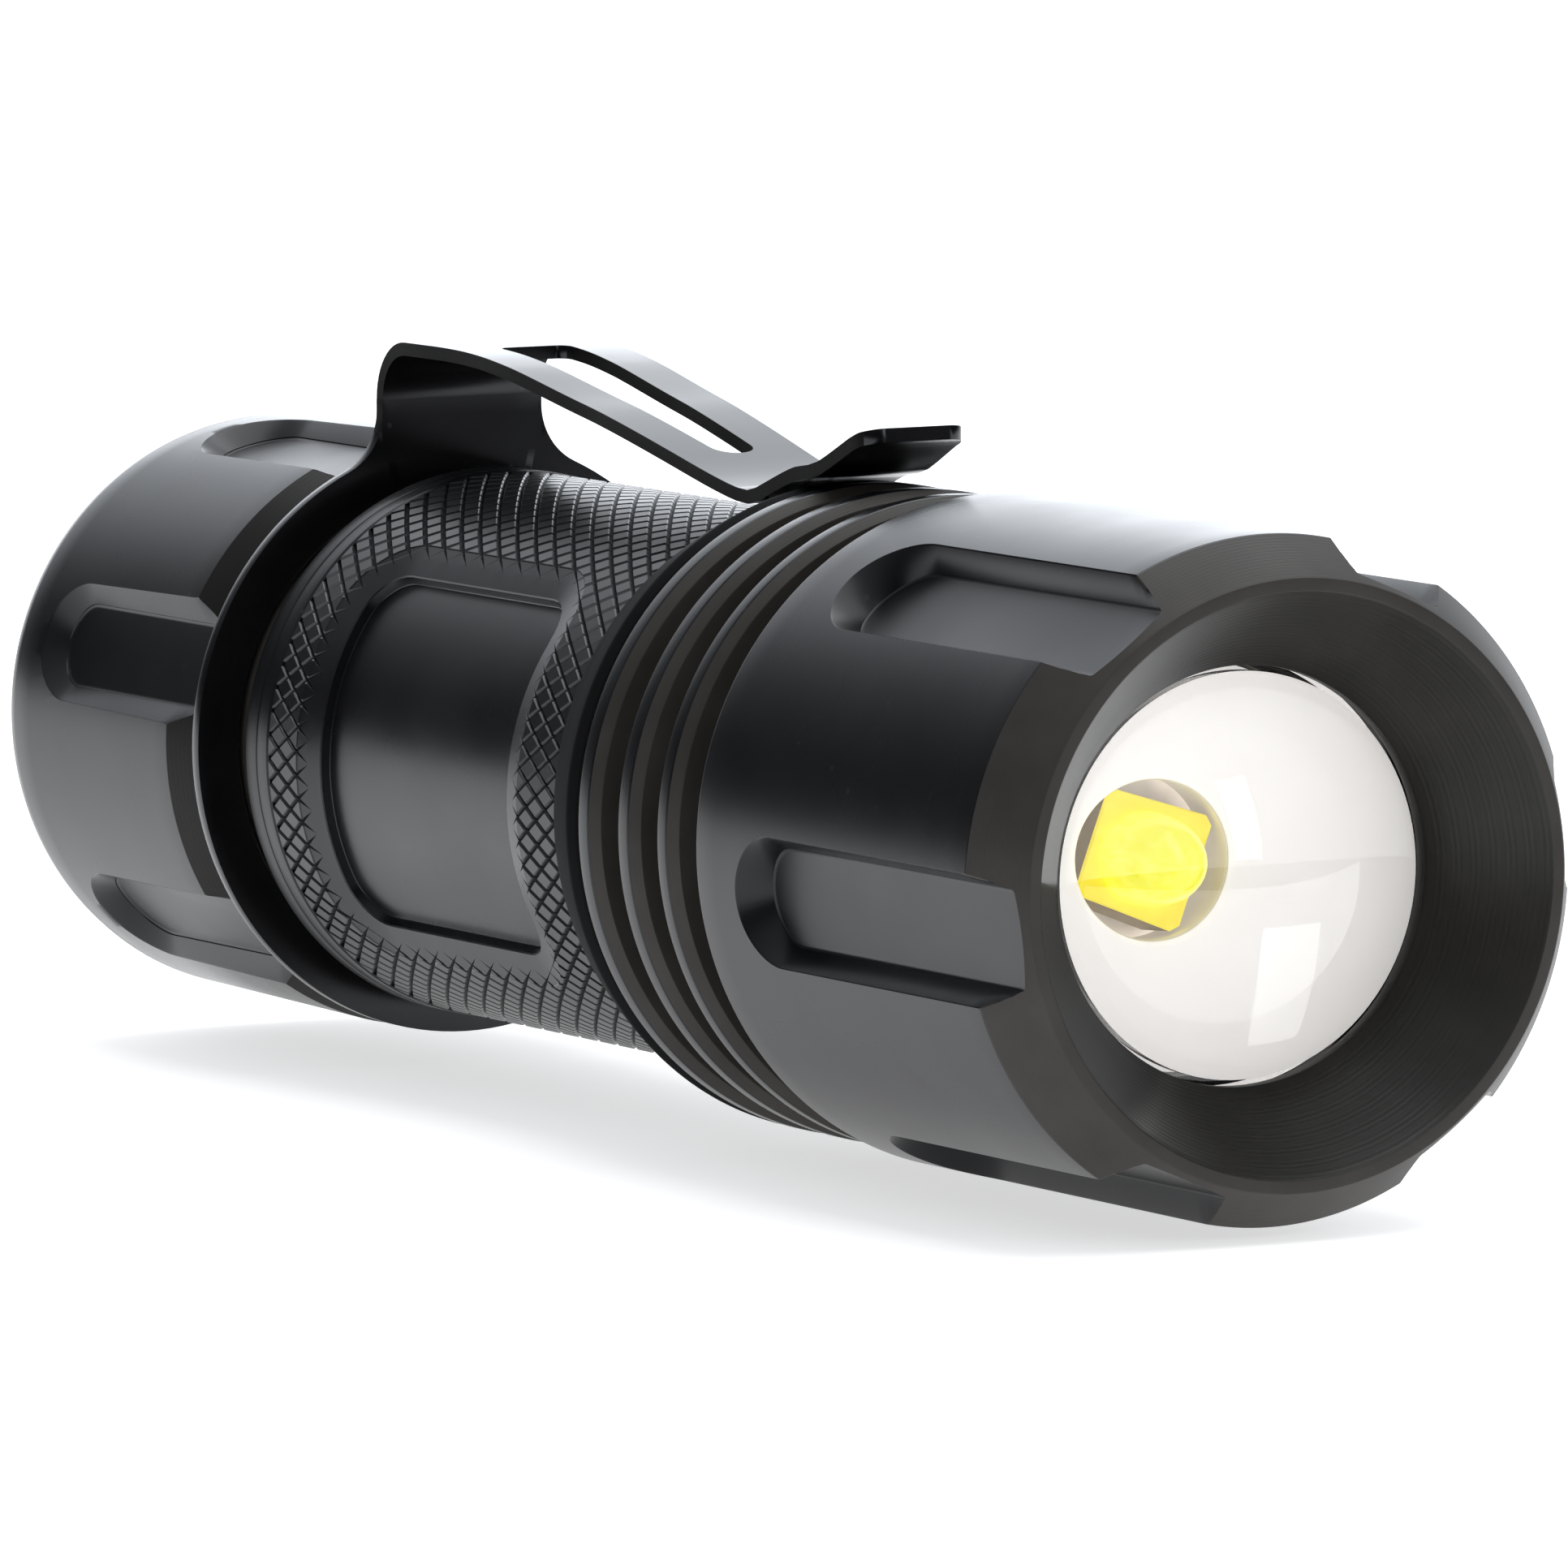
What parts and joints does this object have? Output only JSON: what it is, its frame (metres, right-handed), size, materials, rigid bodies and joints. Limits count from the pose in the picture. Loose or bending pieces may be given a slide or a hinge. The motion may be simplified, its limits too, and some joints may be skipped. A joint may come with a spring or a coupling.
{
  "type": "tactical flashlight",
  "caption": "Pocket tactical flashlight with a sliding focus head, knurled grip, swivelling spring clip and a screw-on tail cap with a click switch.",
  "frame": {"origin": "middle of the length and width, at the lowest point of the head", "axes": "+X along the beam, +Z towards the pocket clip"},
  "size_m": [0.1048, 0.032, 0.0359],
  "materials": {
    "black_aluminium": "satin black anodised",
    "clip_steel": "semi-gloss black coated spring steel",
    "clear_lens": "clear moulded",
    "rubber": "matt",
    "white_plastic": "matt white",
    "black_plastic": "matt black",
    "phosphor": "yellow phosphor under a clear dome",
    "ceramic": "matt ceramic",
    "green_board": "solder mask",
    "white_board": "white solder mask",
    "brass": "turned",
    "spring_steel": "bright",
    "cell_jacket": "printed sleeve",
    "red_insulation": "insulation",
    "black_insulation": "insulation"
  },
  "bodies": {
    "tube": {"grip_tube": "black_aluminium", "neck": "black_aluminium", "neck_oring": "rubber", "led_board": "white_board", "led_base": "ceramic", "led_dome": "phosphor", "centring_disc": "white_plastic", "led_wire_positive": "red_insulation", "led_wire_negative": "black_insulation", "driver_board": "green_board", "driver_inductor": "black_plastic", "driver_chip": "black_plastic", "driver_retaining_ring": "brass", "driver_spring": "spring_steel", "battery_carrier": "black_plastic", "carrier_front_plate": "spring_steel", "carrier_rear_plate": "spring_steel", "carrier_front_contact": "brass", "carrier_rear_contact": "brass", "cell_1": "cell_jacket", "cell_2": "cell_jacket", "cell_3": "cell_jacket"},
    "stop_ring": {"stop_ring": "spring_steel"},
    "head": {"bezel": "black_aluminium", "lens": "clear_lens", "lens_gasket": "rubber", "lens_retaining_ring": "black_aluminium"},
    "tail_seal": {"tail_oring": "rubber"},
    "tail": {"tail_cap": "black_aluminium", "switch_retaining_ring": "brass", "switch_board": "green_board", "tail_spring": "spring_steel", "switch_body": "black_plastic", "boot_flange": "rubber"},
    "button": {"switch_boot": "rubber", "switch_plunger": "white_plastic"},
    "clip_ring": {"clip_band": "clip_steel"},
    "clip_arm": {"clip_arm": "clip_steel"}
  },
  "joints": [
    {"name": "head_turn", "type": "hinge", "parent": "tube", "child": "stop_ring", "pos_m": [0, 0, 0.016], "axis": [1, 0, 0], "continuous": true},
    {"name": "head_zoom", "type": "slide", "parent": "stop_ring", "child": "head", "axis": [1, 0, 0], "range_m": [0, 0.006]},
    {"name": "tail_cap_turn", "type": "hinge", "parent": "tube", "child": "tail_seal", "pos_m": [0, 0, 0.016], "axis": [-1, 0, 0], "range_deg": [0, 2520]},
    {"name": "tail_cap_travel", "type": "slide", "parent": "tail_seal", "child": "tail", "axis": [-1, 0, 0], "range_m": [0, 0.00876]},
    {"name": "tail_button", "type": "slide", "parent": "tail", "child": "button", "axis": [1, 0, 0], "range_m": [0, 0.0015], "stiffness_N_per_m": 500, "springref_m": -0.001},
    {"name": "clip_swivel", "type": "hinge", "parent": "tube", "child": "clip_ring", "pos_m": [0, 0, 0.016], "axis": [1, 0, 0], "continuous": true},
    {"name": "clip_flex", "type": "hinge", "parent": "clip_ring", "child": "clip_arm", "pos_m": [-0.0266, 0, 0.0356], "axis": [0, -1, 0], "range_deg": [0, 6], "stiffness_Nm_per_rad": 5, "springref_deg": -1.15}
  ],
  "couplings": [
    {"joint": "tail_cap_travel", "follows": "tail_cap_turn", "m_per_rad": 0.00019894}
  ]
}
